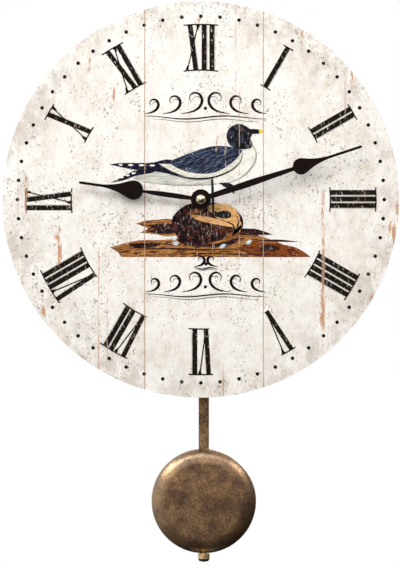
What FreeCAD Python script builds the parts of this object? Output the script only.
import FreeCAD, Part
import math
import os
from types import SimpleNamespace

import Sketcher
from FreeCAD import Placement, Rotation, Vector
from fcgear import fcgear, involute

# A round board wall clock with a quartz pendulum movement behind it.
# The frame: +Z up, +X to the right as the clock is read, the dial faces -Y. The origin lies on the
# wall, straight behind the hand axis. "Depth" is the distance from the wall, so a point at depth d
# has y = -d. All sizes are in millimetres and degrees.

doc = FreeCAD.newDocument("pendulum_wall_clock")

# ------------------------------------------------------------------ driving dimensions

SIZES = [
    ("dial_radius", 152.4, "dial board, twelve inches across"),
    ("dial_hole", 4.2, "radius of the hole through the board"),
    ("dial_back", 27.0, "depth of the board's rear face"),
    ("board_thick", 6.35, "board, a quarter inch"),
    ("print_thick", 0.25, "printed face"),
    ("edge_ease", 0.5, "eased edge of the board"),
    ("case_half", 29.0, "half the width of the movement case"),
    ("case_top", 34.0, "top of the case above the hand axis"),
    ("case_foot", 62.0, "foot of the case below the hand axis"),
    ("case_depth", 26.0, "depth of the case"),
    ("case_split", 12.0, "depth of the seam between its shells"),
    ("wall", 1.6, "case wall"),
    ("screw_side", 25.2, "case screws, from the middle line"),
    ("screw_low", 57.8, "lower case screws, below the hand axis"),
    ("screw_high", 26.5, "upper case screws, below the hand axis"),
    ("hanger_height", 42.0, "centre of the hanger hole"),
    ("hanger_radius", 3.5, "radius of the hanger hole"),
    ("hanger_thick", 3.0, "hanger tab"),
    ("bay_middle", 23.6, "height of the battery's axis"),
    ("bay_half_length", 26.4, "half the length of the battery bay"),
    ("bay_half_height", 7.5, "half the height of the battery bay"),
    ("bay_floor", 16.3, "depth of the bay's floor"),
    ("bay_wall", 0.9, "wall of the bay"),
    ("battery_radius", 7.1, "AA cell"),
    ("battery_depth", 8.6, "depth of the cell's axis"),
    ("plate_back", 11.0, "depth of the bearing plate"),
    ("plate_thick", 1.2, "bearing plate"),
    ("post_side", 23.6, "posts of the bearing plate, from the middle line"),
    ("post_high", 11.8, "upper posts"),
    ("post_low", 20.8, "lower posts, below the hand axis"),
    ("running", 0.06, "running clearance on a shaft, on the radius"),
    ("bushing_radius", 3.95, "threaded bushing, 5/16 inch"),
    ("bushing_bore", 2.6, "bore of the bushing"),
    ("bushing_end", 37.4, "depth of the bushing's front end"),
    ("nut_flats", 11.0, "hexagon nut across its flats"),
    ("nut_thick", 2.2, "hexagon nut"),
    ("washer_thick", 0.6, "brass washer under the nut"),
    ("hour_pipe", 2.5, "outer radius of the hour pipe"),
    ("hour_bore", 1.52, "bore of the hour pipe"),
    ("minute_arbor", 1.45, "radius of the minute arbor"),
    ("minute_stub", 1.2, "threaded end of the minute arbor"),
    ("arbor", 0.6, "radius of the train's arbors"),
    ("pivot", 0.45, "radius of their pivots"),
    ("hour_hand_depth", 38.2, "rear face of the hour hand"),
    ("minute_hand_depth", 42.0, "rear face of the minute hand"),
    ("hand_thick", 0.6, "sheet that the hands are stamped from"),
    ("hour_hand_length", 94.6, "hour hand, axis to tip"),
    ("minute_hand_length", 130.2, "minute hand, axis to tip"),
    ("hour_hand_angle", 277.95, "hour hand, clockwise from twelve"),
    ("minute_hand_angle", 71.79, "minute hand, clockwise from twelve"),
    ("hand_half_width", 1.0, "half the width of each hand at its tip"),
    ("minute_boss", 7.75, "boss of the minute hand"),
    ("hour_boss", 6.2, "boss of the hour hand"),
    ("hand_nut_radius", 3.97, "domed nut that holds the hands"),
    ("minute_wheel_angle", -20.0, "direction of the minute wheel from the hand axis"),
    ("setting_angle", 10.0, "direction of the setting wheel from the minute wheel"),
    ("third_angle", 160.0, "direction of the third wheel from the hand axis"),
    ("seconds_angle", -100.0, "direction of the seconds wheel from the third wheel"),
    ("intermediate_angle", -160.0, "direction of the intermediate wheel from the seconds wheel"),
    ("rotor_angle", -60.0, "direction of the rotor from the intermediate wheel"),
    ("knob_radius", 4.8, "setting knob"),
    ("magnet_radius", 2.5, "rotor magnet"),
    ("coil_height", 19.3, "motor coil, below the hand axis"),
    ("coil_depth", 16.6, "depth of the motor coil's axis"),
    ("board_back", 18.5, "depth of the circuit board's rear face"),
    ("circuit_thick", 1.2, "circuit board"),
    ("pendulum_side", 2.3, "pendulum, to the right of the hand axis"),
    ("pendulum_pivot", 8.0, "pendulum pivot, below the hand axis"),
    ("pendulum_pin", 0.6, "radius of the pivot pin"),
    ("lever_back", 4.6, "depth of the lever's rear face"),
    ("lever_thick", 2.8, "lever"),
    ("lever_half", 3.0, "half the width of the lever"),
    ("drive_height", 44.0, "drive coil and its magnet, below the hand axis"),
    ("peg_height", 67.4, "peg that the rod hangs on, below the hand axis"),
    ("rod_back", 7.8, "depth of the rod's rear face"),
    ("rod_thick", 1.0, "strip that the rod is cut from"),
    ("rod_half", 4.0, "half the width of the rod"),
    ("rod_top", 64.2, "top of the rod, below the hand axis"),
    ("rod_end", 262.0, "lower end of the strip, below the hand axis"),
    ("bob_height", 233.1, "bob's centre, below the hand axis"),
    ("bob_radius", 40.5, "bob"),
    ("bob_back", 4.6, "depth of the bob's rear face"),
    ("bob_front", 14.6, "depth of the bob's crown"),
    ("bob_wall", 0.6, "bob's sheet brass"),
    ("bob_flat", 29.0, "radius of the bob's nearly flat middle"),
    ("bob_lean", 2.0, "fall of the crown where the rolled rim starts"),
    ("bob_round", 14.0, "radius of the rolled rim's shoulder"),
    ("bob_bend", 50.0, "fall of the surface where the shoulder meets the edge"),
    ("stud_radius", 1.5, "threaded stud at the rod's foot"),
    ("stud_end", 280.0, "lower end of the stud, below the hand axis"),
    ("rating_top", 273.65, "top of the rating nut, below the hand axis"),
    ("rating_foot", 279.6, "foot of the rating nut, below the hand axis"),
    ("rating_radius", 4.5, "rating nut"),
]

sheet = doc.addObject("Spreadsheet::Sheet", "dims")
for row, (alias, number, note) in enumerate(SIZES, 1):
    sheet.set(f"A{row}", note)
    sheet.set(f"B{row}", str(number))
    sheet.setAlias(f"B{row}", alias)
doc.recompute()


class Size:
    """A length or angle that carries its number and the sheet expression that gives it."""

    def __init__(self, value, text=None):
        self.value = float(value)
        self.text = text or f"({self.value:.9g})"

    def __float__(self):
        return self.value

    def joined(self, sign, other, value):
        return Size(value, f"({self.text} {sign} {as_size(other).text})")

    def __add__(self, other):
        return self.joined("+", other, self.value + float(other))

    def __sub__(self, other):
        return self.joined("-", other, self.value - float(other))

    def __mul__(self, other):
        return self.joined("*", other, self.value * float(other))

    def __truediv__(self, other):
        return self.joined("/", other, self.value / float(other))

    def __radd__(self, other):
        return as_size(other) + self

    def __rsub__(self, other):
        return as_size(other) - self

    def __rmul__(self, other):
        return as_size(other) * self

    def __neg__(self):
        return 0.0 - self


def as_size(number):
    return number if isinstance(number, Size) else Size(number)


def cosine(angle):
    return Size(math.cos(math.radians(float(angle))), f"cos({angle.text})")


def sine(angle):
    return Size(math.sin(math.radians(float(angle))), f"sin({angle.text})")


S = SimpleNamespace(**{alias: Size(sheet.get(alias), f"dims.{alias}") for alias, _, _ in SIZES})

pieces = []


def keep(piece):
    """Marks an object as a sub-part that gets a file of its own."""
    pieces.append(piece)
    return piece


def bind(thing, target, size):
    """Binds one property to the sheet, where the size comes from it."""
    if "dims." in as_size(size).text:
        thing.setExpression(target, size.text)


# ------------------------------------------------------------------ sketches and features


def body_at(label, x=0, z=0, depth=0):
    """A body whose own origin is at x, z and depth."""
    body = doc.addObject("PartDesign::Body", label)
    body.Label = label
    place = {"x": as_size(x), "y": -as_size(depth), "z": as_size(z)}
    body.Placement = Placement(Vector(*[float(size) for size in place.values()]), Rotation())
    for axis, size in place.items():
        bind(body, f"Placement.Base.{axis}", size)
    return keep(body)


def origin_feature(body, role):
    return next(item for item in body.Origin.OriginFeatures if item.Role == role)


def face_sketch(body, depth):
    """A sketch that faces the reader: its x is +X, its y is +Z, and it lies at a depth."""
    sketch = body.newObject("Sketcher::SketchObject", "Sketch")
    sketch.AttachmentSupport = (origin_feature(body, "XZ_Plane"), "")
    sketch.MapMode = "FlatFace"
    sketch.AttachmentOffset = Placement(Vector(0, 0, float(depth)), Rotation())
    bind(sketch, "AttachmentOffset.Base.z", as_size(depth))
    return sketch


def profile_sketch(body):
    """A sketch of half a section: its x is the radius and its y is the depth."""
    sketch = body.newObject("Sketcher::SketchObject", "Profile")
    sketch.AttachmentSupport = (origin_feature(body, "XY_Plane"), "")
    sketch.MapMode = "FlatFace"
    sketch.AttachmentOffset = Placement(Vector(), Rotation(Vector(1, 0, 0), 180))
    return sketch


def pin(sketch, geometry, point, x, y):
    """Ties one point to the sheet by its distances from the sketch's origin."""
    for kind, size in (("DistanceX", as_size(x)), ("DistanceY", as_size(y))):
        index = sketch.addConstraint(Sketcher.Constraint(kind, -1, 1, geometry, point, size.value))
        bind(sketch, f"Constraints[{index}]", size)


def disc(x, z, radius):
    """Draws a circle."""
    def draw(sketch):
        middle = Vector(float(x), float(z), 0)
        circle = sketch.addGeometry(Part.Circle(middle, Vector(0, 0, 1), float(radius)), False)
        index = sketch.addConstraint(Sketcher.Constraint("Radius", circle, float(radius)))
        bind(sketch, f"Constraints[{index}]", as_size(radius))
        pin(sketch, circle, 3, x, z)
    return draw


def arc_middle(start, end, radius):
    """The middle of an arc; a positive radius bulges to the right of the way it runs."""
    chord = end - start
    left = Vector(-chord.y, chord.x, 0).normalize()
    rise = math.sqrt(radius ** 2 - chord.Length ** 2 / 4)
    side = math.copysign(1.0, radius)
    return (start + end) * 0.5 + left * side * (rise - abs(radius))


def shape(*corners):
    """Draws a closed outline. A corner's third value is the radius of the arc that arrives at it."""
    def draw(sketch):
        points = [Vector(float(corner[0]), float(corner[1]), 0) for corner in corners]
        ends = []
        for number, corner in enumerate(corners):
            start, end = points[number - 1], points[number]
            if len(corner) == 3:
                middle = arc_middle(start, end, float(corner[2]))
                edge = sketch.addGeometry(Part.Arc(start, middle, end), False)
            else:
                edge = sketch.addGeometry(Part.LineSegment(start, end), False)
            first = 1 if sketch.getPoint(edge, 1).distanceToPoint(start) < 1e-6 else 2
            ends.append((edge, first, 3 - first))
        for number, (edge, _, last) in enumerate(ends):
            following, first, _ = ends[(number + 1) % len(ends)]
            sketch.addConstraint(Sketcher.Constraint("Coincident", edge, last, following, first))
            pin(sketch, edge, last, corners[number][0], corners[number][1])
            if len(corners[number]) == 3:
                radius = as_size(corners[number][2])
                radius = radius if radius.value > 0 else -radius
                index = sketch.addConstraint(Sketcher.Constraint("Radius", edge, radius.value))
                bind(sketch, f"Constraints[{index}]", radius)
    return draw


def box(x0, z0, x1, z1):
    """Draws a rectangle between two corners."""
    return shape((x0, z0), (x1, z0), (x1, z1), (x0, z1))


def add(body, start, end, *drawings):
    """Adds material between two depths."""
    sketch = face_sketch(body, start)
    for draw in drawings:
        draw(sketch)
    pad = body.newObject("PartDesign::Pad", "Pad")
    pad.Profile = sketch
    pad.Length = float(end) - float(start)
    bind(pad, "Length", as_size(end) - start)
    return pad


def cut(body, start, end, *drawings):
    """Removes material between two depths."""
    sketch = face_sketch(body, start)
    for draw in drawings:
        draw(sketch)
    pocket = body.newObject("PartDesign::Pocket", "Pocket")
    pocket.Profile = sketch
    pocket.Reversed = True
    pocket.Length = float(end) - float(start)
    bind(pocket, "Length", as_size(end) - start)
    return pocket


def turn(body, *corners):
    """Turns a section of radius and depth about the body's own depth axis."""
    sketch = profile_sketch(body)
    shape(*corners)(sketch)
    turned = body.newObject("PartDesign::Revolution", "Turned")
    turned.Profile = sketch
    turned.ReferenceAxis = (sketch, ["V_Axis"])
    turned.Angle = 360
    return turned


def turn_upright(body, *corners):
    """Turns a section of radius and height about the body's own upright axis."""
    sketch = face_sketch(body, 0)
    shape(*corners)(sketch)
    turned = body.newObject("PartDesign::Revolution", "Turned")
    turned.Profile = sketch
    turned.ReferenceAxis = (sketch, ["V_Axis"])
    turned.Angle = 360
    return turned


def ring_of(body, feature, count, axis_role):
    """Repeats a feature all round one of the body's own axes."""
    pattern = body.newObject("PartDesign::PolarPattern", "Ring")
    pattern.Originals = [feature]
    pattern.Axis = (origin_feature(body, axis_role), [""])
    pattern.Angle = 360
    pattern.Occurrences = count
    body.Tip = pattern


# ------------------------------------------------------------------ primitives

FORWARD = Rotation(Vector(1, 0, 0), 90)     # a cylinder's own +Z turned towards the reader
RIGHT = Rotation(Vector(0, 1, 0), 90)       # ... and turned to +X
UP = Rotation()


def place(thing, x, depth, z, turned):
    thing.Placement = Placement(Vector(float(x), -float(depth), float(z)), turned)
    for axis, size in (("x", as_size(x)), ("y", -as_size(depth)), ("z", as_size(z))):
        bind(thing, f"Placement.Base.{axis}", size)


def cylinder(name, turned, radius, length, x, depth, z):
    rod = doc.addObject("Part::Cylinder", name)
    for target, size in (("Radius", as_size(radius)), ("Height", as_size(length))):
        setattr(rod, target, size.value)
        bind(rod, target, size)
    place(rod, x, depth, z, turned)
    return rod


def block(name, x0, x1, depth0, depth1, z0, z1):
    solid = doc.addObject("Part::Box", name)
    spans = {"Length": as_size(x1) - x0, "Width": as_size(depth1) - depth0, "Height": as_size(z1) - z0}
    for target, size in spans.items():
        setattr(solid, target, size.value)
        bind(solid, target, size)
    place(solid, x0, depth1, z0, UP)
    return solid


def fused(name, *solids):
    joined = doc.addObject("Part::MultiFuse", name)
    joined.Shapes = list(solids)
    return joined


def less(name, base, tool):
    result = doc.addObject("Part::Cut", name)
    result.Base = base
    result.Tool = tool
    return result


def node(thing, label):
    thing.Label = label
    return keep(thing)


# ------------------------------------------------------------------ dial and its fastening

face_back = S.dial_back + S.board_thick
face_front = face_back + S.print_thick
washer_front = face_front + S.washer_thick
nut_front = washer_front + S.nut_thick

board = body_at("dial_board")
turn(board,
     (S.dial_hole, S.dial_back),
     (S.dial_radius - S.edge_ease, S.dial_back),
     (S.dial_radius, S.dial_back + S.edge_ease),
     (S.dial_radius, face_back),
     (S.dial_hole, face_back))

printed = body_at("printed_face")
turn(printed,
     (S.dial_hole, face_back),
     (S.dial_radius, face_back),
     (S.dial_radius, face_front),
     (S.dial_hole, face_front))

rubber = body_at("rubber_washer")
turn(rubber,
     (S.bushing_radius + 0.1, S.case_depth),
     (9.4, S.case_depth),
     (9.0, S.dial_back),
     (S.bushing_radius + 0.1, S.dial_back))

washer = body_at("dial_washer")
turn(washer,
     (S.bushing_radius + 0.1, face_front),
     (7.0, face_front),
     (6.8, washer_front),
     (S.bushing_radius + 0.1, washer_front))

hexagon = doc.addObject("Part::Prism", "HexNutBlank")
hexagon.Polygon = 6
hexagon.Circumradius = float(S.nut_flats) / math.sqrt(3)
hexagon.setExpression("Circumradius", "dims.nut_flats / sqrt(3)")
hexagon.Height = float(S.nut_thick)
bind(hexagon, "Height", S.nut_thick)
place(hexagon, 0, washer_front, 0, FORWARD)
nut_bore = cylinder("HexNutBore", FORWARD, S.bushing_radius + 0.05, S.nut_thick + 2,
                    0, washer_front - 1, 0)
node(less("HexNut", hexagon, nut_bore), "hex_nut")

bushing = body_at("threaded_bushing")
bushing_seat = S.case_depth - 0.6
turn(bushing,
     (S.bushing_bore, S.case_depth - S.wall),
     (5.2, S.case_depth - S.wall),
     (5.2, bushing_seat),
     (S.bushing_radius, bushing_seat),
     (S.bushing_radius, S.bushing_end - 0.4),
     (S.bushing_radius - 0.4, S.bushing_end),
     (S.bushing_bore, S.bushing_end))

# ------------------------------------------------------------------ where the arbors stand


def from_point(start, distance, angle):
    return start[0] + distance * cosine(angle), start[1] + distance * sine(angle)


MOTION_MODULE, THIRD_MODULE, SECONDS_MODULE = 0.4, 0.35, 0.3
STEP_MODULE, ROTOR_MODULE = 0.25, 0.2

hand_axis = (as_size(0), as_size(0))
minute_wheel_at = from_point(hand_axis, MOTION_MODULE * (10 + 30) / 2, S.minute_wheel_angle)
setting_at = from_point(minute_wheel_at, MOTION_MODULE * (30 + 15) / 2, S.setting_angle)
third_at = from_point(hand_axis, THIRD_MODULE * (64 + 8) / 2, S.third_angle)
seconds_at = from_point(third_at, SECONDS_MODULE * (60 + 8) / 2, S.seconds_angle)
intermediate_at = from_point(seconds_at, STEP_MODULE * (50 + 10) / 2, S.intermediate_angle)
rotor_at = from_point(intermediate_at, ROTOR_MODULE * (60 + 10) / 2, S.rotor_angle)

# ------------------------------------------------------------------ movement case

inner_half = S.case_half - S.wall
inner_top = S.case_top - S.wall
inner_foot = S.case_foot - S.wall
front_wall = S.case_depth - S.wall
plate_front = S.plate_back + S.plate_thick
circuit_front = S.board_back + S.circuit_thick
screw_places = [(side * S.screw_side, -height) for side in (1.0, -1.0)
                for height in (S.screw_low, S.screw_high)]
post_places = [(side * S.post_side, height) for side in (1.0, -1.0)
               for height in (S.post_high, -S.post_low)]
stator_pegs = [(as_size(-2.0), as_size(-13.8)), (as_size(15.0), as_size(-13.8))]
circuit_pegs = [(as_size(-17.0), as_size(-54.0)), (as_size(17.0), as_size(-54.0)),
                (as_size(0.0), as_size(-28.5))]


def discs(places, radius):
    return [disc(x, z, radius) for x, z in places]


front = body_at("case_front")
add(front, S.case_split, S.case_depth, box(-S.case_half, -S.case_foot, S.case_half, S.case_top))
cut(front, S.case_split, front_wall, box(-inner_half, -inner_foot, inner_half, inner_top))
cut(front, front_wall, bushing_seat, disc(0, 0, 5.25))
cut(front, bushing_seat, S.case_depth, disc(0, 0, S.bushing_radius + 0.05))
add(front, S.case_split, front_wall, *discs(screw_places, 2.1))
cut(front, S.case_split, 20.0, *discs(screw_places, 1.0))
add(front, plate_front, front_wall, *discs(post_places, 1.8))
add(front, S.plate_back, plate_front, *discs(post_places, 0.9))
add(front, 16.1, front_wall, *discs(stator_pegs, 1.2))
add(front, 15.1, 16.1, *discs(stator_pegs, 0.7))
add(front, circuit_front, front_wall, *discs(circuit_pegs, 1.6))
add(front, S.board_back, circuit_front, *discs(circuit_pegs, 0.8))
add(front, 24.0, front_wall, disc(*minute_wheel_at, 1.4))
add(front, 20.0, 24.0, disc(*minute_wheel_at, 0.75))
cut(front, front_wall, front_wall + 0.9,
    *discs([third_at, seconds_at, intermediate_at, rotor_at], S.pivot + S.running),
    disc(*setting_at, 1.0 + S.running))

rear = body_at("case_rear")
slot_half = 12.0
bay_low, bay_high = S.bay_middle - S.bay_half_height, S.bay_middle + S.bay_half_height
add(rear, 0, S.case_split, box(-S.case_half, -S.case_foot, S.case_half, S.case_top))
cut(rear, S.wall, S.case_split, box(-inner_half, -inner_foot, inner_half, inner_top))
add(rear, S.wall, S.bay_floor + S.bay_wall,
    box(-(S.bay_half_length + S.bay_wall), bay_low - S.bay_wall,
        S.bay_half_length + S.bay_wall, bay_high + S.bay_wall))
cut(rear, 0, S.bay_floor, box(-S.bay_half_length, bay_low, S.bay_half_length, bay_high))
for side in (1.0, -1.0):
    near, far = sorted([side * 25.9, side * 26.35])
    cut(rear, S.bay_floor, S.bay_floor + S.bay_wall, box(near, 21.9, far, 25.1))
add(rear, S.wall, 7.4, disc(*setting_at, 7.9))
cut(rear, 0, 6.4, disc(*setting_at, 7.0))
cut(rear, 6.4, 7.4, disc(*setting_at, 1.0 + S.running))
add(rear, S.wall, 3.4, disc(S.pendulum_side, -S.pendulum_pivot, 2.0))
cut(rear, 0.9, 3.4, disc(S.pendulum_side, -S.pendulum_pivot, S.pendulum_pin))
cut(rear, 3.6, 8.4, box(S.pendulum_side - slot_half, -S.case_foot - 1,
                        S.pendulum_side + slot_half, -inner_foot + 0.5))
add(rear, S.wall, S.case_split, *discs(screw_places, 2.1))
cut(rear, 0, S.case_split, *discs(screw_places, 1.15))
cut(rear, 0, 2.2, *discs(screw_places, 2.05))
add(rear, 0, S.hanger_thick,
    shape((-13.0, inner_top), (13.0, inner_top), (8.5, S.hanger_height), (-8.5, S.hanger_height)))
add(rear, 0, S.hanger_thick, disc(0, S.hanger_height, 8.5))
cut(rear, 0, S.hanger_thick, disc(0, S.hanger_height, S.hanger_radius))

plate = body_at("bearing_plate")
add(plate, S.plate_back, plate_front, box(-27.0, -23.0, 27.0, 14.6))
cut(plate, S.plate_back, plate_front,
    *discs(post_places, 0.95),
    *discs([third_at, seconds_at, intermediate_at, rotor_at], S.pivot + S.running),
    disc(0, 0, 1.0 + S.running),
    disc(*setting_at, 1.0 + S.running),
    disc(S.pendulum_side, -S.pendulum_pivot, S.pendulum_pin))

screws = []
for number, (x, z) in enumerate(screw_places):
    head = cylinder(f"ScrewHead{number}", FORWARD, 1.95, 1.7, x, 0.5, z)
    shank = cylinder(f"ScrewShank{number}", FORWARD, 1.0, 15.6, x, 2.2, z)
    slot = block(f"ScrewSlot{number}", x - 1.6, x + 1.6, 0.0, 1.1, z - 0.25, z + 0.25)
    screws.append(less(f"Screw{number}", fused(f"ScrewBlank{number}", head, shank), slot))
screw_group = doc.addObject("Part::Compound", "Screws")
screw_group.Links = screws
node(screw_group, "case_screws")

# ------------------------------------------------------------------ wheels and pinions
# Each toothed piece is drawn in its own plane, x to the right, y up and z towards the reader, and
# then set upright at its arbor. A short addendum and a small negative profile shift leave backlash.

ADDENDUM, DEDENDUM, SHIFT, PRESSURE = 0.72, 1.15, -0.12, 20.0


def rim(teeth, module, start, end, phase):
    """A toothed disc between two depths, with the middle of a tooth at the angle called phase."""
    builder = fcgear.FCWireBuilder()
    involute.CreateExternalGear(builder, module, teeth, PRESSURE, True, ADDENDUM, DEDENDUM, 0.1, SHIFT)
    face = Part.Face(Part.Wire([part.toShape() for part in builder.wire]))
    solid = face.extrude(Vector(0, 0, float(end) - float(start)))
    solid.rotate(Vector(), Vector(0, 0, 1), phase)
    solid.translate(Vector(0, 0, float(start)))
    return solid


def round_bar(radius, start, end):
    return Part.makeCylinder(float(radius), float(end) - float(start), Vector(0, 0, float(start)))


def meshing_phase(driver_teeth, driver_phase, direction, teeth):
    """The phase that puts a gap of the second wheel where the first one has its tooth."""
    share = (direction - driver_phase) * driver_teeth / 360.0
    return direction + 180.0 - 360.0 / teeth * (0.5 - share)


def toothed(label, place_at, solids, bore=None):
    """One turned and toothed piece, fused and set on its arbor."""
    shape_made = solids[0].multiFuse(solids[1:]) if len(solids) > 1 else solids[0]
    if bore:
        shape_made = shape_made.cut(bore)
    piece = doc.addObject("Part::Feature", label)
    piece.Label = label
    piece.Shape = shape_made.removeSplitter()
    piece.Placement = Placement(Vector(float(place_at[0]), 0, float(place_at[1])), FORWARD)
    return keep(piece)


def train_arbor():
    """An arbor with its two pivots, from the bearing plate to the front wall."""
    return [round_bar(S.pivot, S.plate_back + 0.1, front_wall + 0.7),
            round_bar(S.arbor, plate_front + 0.1, front_wall - 0.15)]


minute_angle = float(S.minute_wheel_angle)
setting_angle = float(S.setting_angle)
third_angle = float(S.third_angle)
seconds_angle = float(S.seconds_angle)
intermediate_angle = float(S.intermediate_angle)
rotor_angle = float(S.rotor_angle)
minute_wheel_phase = meshing_phase(10, minute_angle, minute_angle, 30)
setting_phase = meshing_phase(30, minute_wheel_phase, setting_angle, 15)
hour_phase = meshing_phase(8, minute_angle + 180.0, minute_angle + 180.0, 32)

toothed("minute_arbor", hand_axis, [
    round_bar(S.minute_arbor, plate_front + 0.2, S.minute_hand_depth),
    round_bar(1.0, S.plate_back - 0.4, plate_front + 0.2),
    round_bar(2.4, 16.0, 16.6),
    round_bar(S.minute_stub, S.minute_hand_depth, S.minute_hand_depth + 2.6),
    rim(10, MOTION_MODULE, 20.2, 21.8, minute_angle)])

toothed("centre_wheel", hand_axis,
        [rim(64, THIRD_MODULE, 17.6, 18.6, meshing_phase(8, third_angle + 180.0, third_angle + 180.0, 64)),
         round_bar(3.1, 16.65, 17.6)],
        round_bar(S.minute_arbor + S.running, 16.0, 19.0))

toothed("hour_wheel", hand_axis,
        [rim(32, MOTION_MODULE, 22.4, 23.6, hour_phase),
         round_bar(3.4, 22.0, 24.2),
         round_bar(S.hour_pipe, 22.0, 40.2)],
        round_bar(S.hour_bore, 21.0, 41.0))

toothed("minute_wheel", minute_wheel_at,
        [rim(30, MOTION_MODULE, 20.4, 21.6, minute_wheel_phase),
         rim(8, MOTION_MODULE, 21.6, 23.9, minute_angle + 180.0)],
        round_bar(0.75 + S.running, 20.0, 24.0))

toothed("setting_wheel", setting_at,
        [rim(15, MOTION_MODULE, 20.4, 21.6, setting_phase)],
        round_bar(1.0, 20.0, 22.0))

toothed("third_wheel", third_at, train_arbor() + [
    rim(8, THIRD_MODULE, 17.3, 18.9, third_angle + 180.0),
    rim(60, SECONDS_MODULE, 15.6, 16.4, meshing_phase(8, seconds_angle + 180.0, seconds_angle + 180.0, 60)),
    round_bar(1.9, 15.2, 17.3)])

toothed("seconds_wheel", seconds_at, train_arbor() + [
    rim(8, SECONDS_MODULE, 15.3, 16.7, seconds_angle + 180.0),
    rim(50, STEP_MODULE, 13.9, 14.6, meshing_phase(10, intermediate_angle + 180.0, intermediate_angle + 180.0, 50)),
    round_bar(1.3, 13.5, 15.3)])

toothed("intermediate_wheel", intermediate_at, train_arbor() + [
    rim(10, STEP_MODULE, 13.7, 14.9, intermediate_angle + 180.0),
    rim(60, ROTOR_MODULE, 17.6, 18.2, meshing_phase(10, rotor_angle + 180.0, rotor_angle + 180.0, 60)),
    round_bar(1.2, 16.9, 17.6)])

toothed("rotor_pinion", rotor_at, train_arbor() + [
    rim(10, ROTOR_MODULE, 17.2, 18.5, rotor_angle + 180.0)])

rotor_magnet = body_at("rotor_magnet", *rotor_at)
add(rotor_magnet, 14.0, 17.0, disc(0, 0, S.magnet_radius))
cut(rotor_magnet, 14.0, 17.0, disc(0, 0, S.arbor))

clutch = body_at("clutch_spring")
turn(clutch,
     (S.minute_arbor, 19.95),
     (2.2, 19.95),
     (4.2, 18.64),
     (4.3, 18.84),
     (2.3, 20.2),
     (S.minute_arbor, 20.2))

knob = body_at("setting_knob", *setting_at)
add(knob, 1.9, 6.0, disc(0, 0, S.knob_radius))
flute = cut(knob, 1.9, 6.0, disc(S.knob_radius + 0.1, 0, 0.62))
ring_of(knob, flute, 16, "Y_Axis")
add(knob, 6.0, 25.0, disc(0, 0, 1.0))

# ------------------------------------------------------------------ hands


def smooth_edge(points, start_way, end_way):
    """One smooth curve through a few points, leaving and arriving in the given directions."""
    curve = Part.BSplineCurve()
    curve.interpolate(Points=[Vector(x, y, 0) for x, y in points],
                      InitialTangent=Vector(*start_way, 0), FinalTangent=Vector(*end_way, 0))
    return curve.toShape()


def spade_hand(label, angle, length, depth, boss, hole, stem, bulb_at, bulb_radius, taper):
    """A stamped spade hand: a swelling stem, a round bulb, a hollow taper and a straight tip.

    The outline is drawn on one side of the hand's own middle line, x towards its tip, and mirrored.
    """
    neck_x, neck_y = stem[-1]
    meets_x = bulb_at - math.sqrt(bulb_radius ** 2 - neck_y ** 2)
    shoulder_x, shoulder_y = taper[0]
    turned = math.atan2(shoulder_y, shoulder_x - bulb_at)
    lean = (math.pi + turned) / 2
    half = float(S.hand_half_width)
    tip_x = float(length) - half
    bulb_top = Vector(bulb_at + bulb_radius * math.cos(lean), bulb_radius * math.sin(lean), 0)
    side = [
        smooth_edge(stem, (1.0, 0.03), (1.0, -0.05)),
        Part.makeLine(Vector(neck_x, neck_y, 0), Vector(meets_x, neck_y, 0)),
        Part.Arc(Vector(meets_x, neck_y, 0), bulb_top, Vector(shoulder_x, shoulder_y, 0)).toShape(),
        smooth_edge(taper, (math.sin(turned), -math.cos(turned)), (1.0, 0.0)),
        Part.makeLine(Vector(*taper[-1], 0), Vector(tip_x, half, 0)),
        Part.Arc(Vector(tip_x, half, 0),
                 Vector(tip_x + half * math.sqrt(0.5), half * math.sqrt(0.5), 0),
                 Vector(float(length), 0, 0)).toShape(),
    ]
    other = [edge.mirror(Vector(), Vector(0, 1, 0)) for edge in side]
    root = Part.makeLine(Vector(stem[0][0], -stem[0][1], 0), Vector(stem[0][0], stem[0][1], 0))
    outline = Part.Wire(Part.__sortEdges__(side + other + [root]))
    blade = Part.Face(outline).extrude(Vector(0, 0, float(S.hand_thick)))
    solid = blade.fuse(Part.makeCylinder(float(boss), float(S.hand_thick)))
    solid = solid.cut(Part.makeCylinder(float(hole), 4, Vector(0, 0, -1)))
    piece = doc.addObject("Part::Feature", label)
    piece.Label = label
    piece.Shape = solid.removeSplitter()
    lean_rotation = FORWARD.multiply(Rotation(Vector(0, 0, 1), 90.0 - float(angle)))
    piece.Placement = Placement(Vector(0, -float(depth), 0), lean_rotation)
    return keep(piece)


COLLET_RADIUS = 3.1

spade_hand("hour_hand", S.hour_hand_angle, S.hour_hand_length, S.hour_hand_depth,
           boss=S.hour_boss, hole=COLLET_RADIUS,
           stem=[(5.0, 1.3), (14.0, 1.85), (24.0, 2.0), (35.0, 1.8), (43.5, 1.1)],
           bulb_at=52.2, bulb_radius=7.42,
           taper=[(53.4, 7.32), (57.7, 5.9), (64.6, 3.2), (71.5, 1.58), (79.0, 1.0)])

spade_hand("minute_hand", S.minute_hand_angle, S.minute_hand_length, S.minute_hand_depth,
           boss=S.minute_boss, hole=S.minute_stub,
           stem=[(6.0, 1.95), (19.0, 2.25), (38.0, 2.6), (56.0, 2.1), (73.2, 1.55)],
           bulb_at=80.9, bulb_radius=6.35,
           taper=[(82.0, 6.25), (86.0, 4.8), (93.0, 2.55), (99.0, 1.42), (106.0, 1.0)])

collet = body_at("hour_hand_collet")
hour_hand_front = S.hour_hand_depth + S.hand_thick
turn(collet,
     (S.hour_pipe, S.hour_hand_depth - 0.4),
     (3.8, S.hour_hand_depth - 0.4),
     (3.8, S.hour_hand_depth),
     (COLLET_RADIUS, S.hour_hand_depth),
     (COLLET_RADIUS, hour_hand_front),
     (3.6, hour_hand_front),
     (3.6, hour_hand_front + 0.4),
     (S.hour_pipe, hour_hand_front + 0.4))

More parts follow.
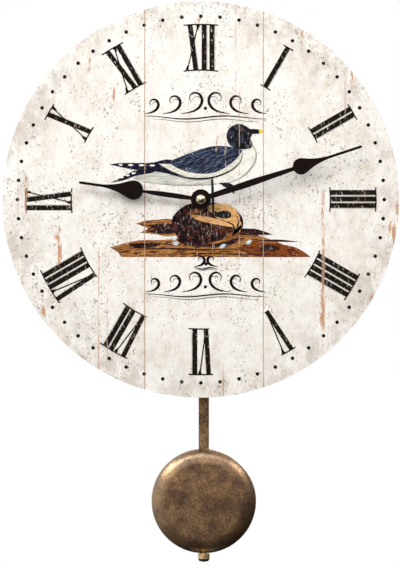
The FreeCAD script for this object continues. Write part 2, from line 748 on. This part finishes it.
minute_hand_front = S.minute_hand_depth + S.hand_thick
dome_rise = as_size(2.6)
dome_radius = (S.hand_nut_radius * S.hand_nut_radius + dome_rise * dome_rise) / (2.0 * dome_rise)
hand_nut = body_at("hand_nut")
turn(hand_nut,
     (0, minute_hand_front + 2.2),
     (S.minute_stub, minute_hand_front + 2.2),
     (S.minute_stub, minute_hand_front),
     (S.hand_nut_radius - 0.25, minute_hand_front),
     (S.hand_nut_radius, minute_hand_front + 0.25),
     (S.hand_nut_radius, minute_hand_front + 1.0),
     (0, minute_hand_front + 1.0 + dome_rise, dome_radius))

# ------------------------------------------------------------------ stepping motor

rotor_x, rotor_z = rotor_at
core_left, core_right = -20.6, 21.4
stator = body_at("stator")
add(stator, 15.1, 16.1, disc(rotor_x, rotor_z, 4.6))
add(stator, 15.1, 16.1, box(rotor_x, -15.4, core_right, -12.2))
add(stator, 15.1, 16.1, box(18.6, -21.0, core_right, -12.2))
add(stator, 15.1, 16.1, box(core_left, -21.0, -12.4, -14.0))
cut(stator, 15.1, 16.1, disc(rotor_x, rotor_z, 3.1), *discs(stator_pegs, 0.75))

core = block("CoreBar", core_left, core_right, 16.1, 17.1, -S.coil_height - 1.2, -S.coil_height + 1.2)
node(core, "coil_core")

bobbin_left, bobbin_right, flange = -11.0, 17.0, 0.8
barrel = cylinder("BobbinBarrel", RIGHT, 1.9, bobbin_right - bobbin_left,
                  bobbin_left, S.coil_depth, -S.coil_height)
flange_left = cylinder("BobbinLeft", RIGHT, 3.5, flange, bobbin_left, S.coil_depth, -S.coil_height)
flange_right = cylinder("BobbinRight", RIGHT, 3.5, flange,
                        bobbin_right - flange, S.coil_depth, -S.coil_height)
bobbin_hole = block("BobbinHole", bobbin_left - 1, bobbin_right + 1, 16.05, 17.15,
                    -S.coil_height - 1.25, -S.coil_height + 1.25)
node(less("Bobbin", fused("BobbinBlank", barrel, flange_left, flange_right), bobbin_hole), "motor_bobbin")

winding = cylinder("WindingFull", RIGHT, 3.2, bobbin_right - bobbin_left - 2 * flange,
                   bobbin_left + flange, S.coil_depth, -S.coil_height)
winding_hole = cylinder("WindingHole", RIGHT, 1.9, bobbin_right - bobbin_left,
                        bobbin_left, S.coil_depth, -S.coil_height)
node(less("Winding", winding, winding_hole), "motor_winding")

# ------------------------------------------------------------------ circuit

circuit = body_at("circuit_board")
add(circuit, S.board_back, circuit_front, box(-20.0, -57.0, 20.0, -25.8))
cut(circuit, S.board_back, circuit_front, *discs(circuit_pegs, 0.85))

chip = body_at("chip_cover", -9.0, -38.0)
turn(chip, (0, circuit_front), (4.5, circuit_front), (4.2, circuit_front + 0.5), (0, circuit_front + 1.5))

crystal = cylinder("CrystalCan", UP, 1.0, 6.0, 8.0, circuit_front + 1.02, -39.0)
node(crystal, "crystal_can")

capacitor = cylinder("CapacitorCan", UP, 2.0, 7.0, 13.0, circuit_front + 2.02, -50.0)
node(capacitor, "capacitor")

drive_bobbin = body_at("drive_bobbin", S.pendulum_side, -S.drive_height)
turn(drive_bobbin,
     (1.2, 10.4), (8.0, 10.4), (8.0, 11.2), (2.4, 11.2),
     (2.4, S.board_back - 0.8), (8.0, S.board_back - 0.8), (8.0, S.board_back), (1.2, S.board_back))

drive_winding = body_at("drive_winding", S.pendulum_side, -S.drive_height)
turn(drive_winding,
     (2.4, 11.2), (7.4, 11.2), (7.4, S.board_back - 0.8), (2.4, S.board_back - 0.8))

# ------------------------------------------------------------------ battery and its contacts

cell_length, nub_length = 48.9, 1.2
cell_left = -24.6
cell = cylinder("CellCan", RIGHT, S.battery_radius, cell_length, cell_left, S.battery_depth, S.bay_middle)
nub = cylinder("CellNub", RIGHT, 2.75, nub_length,
               cell_left + cell_length, S.battery_depth, S.bay_middle)
node(fused("Cell", cell, nub), "battery")


def contact_strip(label, side, bump_radius, bump_reach):
    """A bent brass strip: a plate in the battery bay, a runner along the front wall, and a foot
    that comes back to the circuit board. The bump is the raised spot that the cell presses on."""
    def strip(start, end, x0, z0, x1, z1):
        near, far = sorted([side * x0, side * x1])
        add(body, start, end, box(near, z0, far, z1))

    body = body_at(label)
    strip(3.0, 16.3, 26.0, 19.0, 26.3, 28.2)
    strip(16.3, 23.8, 26.0, 22.0, 26.3, 25.0)
    strip(23.8, 24.1, 25.7, -23.0, 27.0, 25.0)
    strip(23.8, 24.1, 18.0, -24.1, 27.0, -22.8)
    strip(23.8, 24.1, 18.0, -30.0, 19.3, -22.8)
    strip(circuit_front, 23.8, 18.0, -30.0, 19.3, -29.7)
    near, far = sorted([side * 26.0, side * bump_reach])
    add(body, S.battery_depth - bump_radius, S.battery_depth + bump_radius,
        box(near, S.bay_middle - bump_radius, far, S.bay_middle + bump_radius))


contact_strip("positive_contact", 1.0, 2.0, cell_left + cell_length + nub_length)
contact_strip("negative_contact", -1.0, 2.6, -cell_left)

# ------------------------------------------------------------------ pendulum

lever_front = S.lever_back + S.lever_thick
lever = body_at("pendulum_lever", S.pendulum_side)
lever_end = S.peg_height + 2.6
add(lever, S.lever_back, lever_front, box(-S.lever_half, -lever_end, S.lever_half, -S.pendulum_pivot))
add(lever, S.lever_back, lever_front, disc(0, -S.pendulum_pivot, S.lever_half))
add(lever, S.lever_back, lever_front, disc(0, -S.drive_height, 6.0))
add(lever, lever_front, S.rod_back, disc(0, -S.peg_height, 2.4))
add(lever, S.rod_back, 9.3, disc(0, -S.peg_height, 1.5))
add(lever, 9.3, 10.1, disc(0, -S.peg_height, 2.1))
cut(lever, S.lever_back, lever_front, disc(0, -S.pendulum_pivot, S.pendulum_pin + S.running))

pivot_pin = cylinder("PivotPin", FORWARD, S.pendulum_pin, plate_front - 0.9,
                     S.pendulum_side, 0.9, -S.pendulum_pivot)
node(pivot_pin, "pivot_pin")

drive_magnet = body_at("drive_magnet", S.pendulum_side, -S.drive_height)
turn(drive_magnet,
     (0, lever_front), (5.0, lever_front), (5.0, lever_front + 1.5), (4.7, lever_front + 1.8),
     (0, lever_front + 1.8))

rod = body_at("pendulum_rod", S.pendulum_side)
rod_front = S.rod_back + S.rod_thick
shoulder = S.rod_top + S.rod_half
add(rod, S.rod_back, rod_front, box(-S.rod_half, -S.rod_end, S.rod_half, -shoulder))
add(rod, S.rod_back, rod_front, disc(0, -shoulder, S.rod_half))
cut(rod, S.rod_back, rod_front, disc(0, -S.peg_height, 1.6))
cut(rod, S.rod_back, rod_front, box(-1.6, -(S.peg_height + 3.6), 1.6, -S.peg_height))
cut(rod, S.rod_back, rod_front, disc(0, -(S.peg_height + 3.6), 2.3))

stud_top = S.rod_end - 8.0
rod_middle = S.rod_back + S.rod_thick * 0.5
stud_bar = cylinder("StudBar", UP, S.stud_radius, S.stud_end - stud_top,
                    S.pendulum_side, rod_middle, -S.stud_end)
stud_fork = block("StudFork", S.pendulum_side - 4, S.pendulum_side + 4, S.rod_back, rod_front,
                  -S.rod_end, -stud_top + 1)
node(less("Stud", stud_bar, stud_fork), "threaded_stud")

# The bob's section is three arcs, each tangent to the next: a flat crown, a shoulder and an edge.
bob = body_at("bob_front", S.pendulum_side, -S.bob_height)
crown = S.bob_flat / sine(S.bob_lean)
flat_front = S.bob_front - crown * (1.0 - cosine(S.bob_lean))
knee_radius = S.bob_flat + S.bob_round * (sine(S.bob_bend) - sine(S.bob_lean))
knee_depth = flat_front - S.bob_round * (cosine(S.bob_lean) - cosine(S.bob_bend))
edge_round = (S.bob_radius - knee_radius) / (1.0 - sine(S.bob_bend))
rim_depth = knee_depth - edge_round * cosine(S.bob_bend)
inside = S.bob_radius - S.bob_wall
turn(bob,
     (0, S.bob_front - S.bob_wall, crown - S.bob_wall),
     (0, S.bob_front),
     (S.bob_flat, flat_front, -crown),
     (knee_radius, knee_depth, -S.bob_round),
     (S.bob_radius, rim_depth, -edge_round),
     (S.bob_radius, S.bob_back),
     (inside, S.bob_back),
     (inside, rim_depth),
     (knee_radius - S.bob_wall * sine(S.bob_bend), knee_depth - S.bob_wall * cosine(S.bob_bend),
      edge_round - S.bob_wall),
     (S.bob_flat - S.bob_wall * sine(S.bob_lean), flat_front - S.bob_wall * cosine(S.bob_lean),
      S.bob_round - S.bob_wall))
cut(bob, S.rod_back - 0.4, rod_front + 0.4,
    box(-(S.rod_half + 0.4), S.bob_radius - 6, S.rod_half + 0.4, S.bob_radius + 1))
cut(bob, rod_middle - 1.9, rod_middle + 1.9, box(-1.9, -(S.bob_radius + 1), 1.9, -(S.bob_radius - 6)))

bob_back = body_at("bob_back", S.pendulum_side, -S.bob_height)
turn(bob_back,
     (0, S.bob_back), (inside - 0.04, S.bob_back), (inside - 0.04, S.bob_back + 0.6), (0, S.bob_back + 0.6))

guide = body_at("bob_guide", S.pendulum_side, -S.bob_height)
add(guide, S.bob_back + 0.6, 10.0, box(-5.8, -16.0, 5.8, 16.0))
cut(guide, S.rod_back - 0.06, rod_front + 0.06, box(-(S.rod_half + 0.06), -16.0, S.rod_half + 0.06, 16.0))

bob_weight = body_at("bob_weight", S.pendulum_side, -S.bob_height)
turn(bob_weight, (0, 11.4), (21.0, 11.4), (21.0, 13.4), (0, 13.4))

rating_nut = body_at("rating_nut", S.pendulum_side, 0, rod_middle)
turn_upright(rating_nut,
             (S.stud_radius + 0.03, -S.rating_top),
             (S.stud_radius + 0.03, -S.rating_foot),
             (3.45, -S.rating_foot),
             (S.rating_radius, -S.rating_foot + 1.9),
             (S.rating_radius, -S.rating_top - 0.4),
             (S.rating_radius - 0.4, -S.rating_top))

# ------------------------------------------------------------------ checks and files

doc.recompute()

for item in doc.Objects:
    if "Invalid" in item.State or "Error" in item.State:
        raise SystemExit(f"{item.Name} ({item.Label}) failed: {item.State}")
    if item.TypeId == "PartDesign::Pocket" and item.Shape.Volume > item.BaseFeature.Shape.Volume - 1e-4:
        raise SystemExit(f"{item.Name} of {item.getParentGeoFeatureGroup().Label} cuts nothing")

os.makedirs("parts", exist_ok=True)
for piece in pieces:
    if piece.Shape.isNull() or not piece.Shape.isValid() or not piece.Shape.Solids:
        raise SystemExit(f"{piece.Label} has no valid solid")
    piece.Shape.exportStep(f"parts/{piece.Label}.step")
    print(f"{piece.Label:20s} {len(piece.Shape.Solids)} solid(s) {piece.Shape.Volume:12.2f} mm3")
print(len(pieces), "sub-parts written")
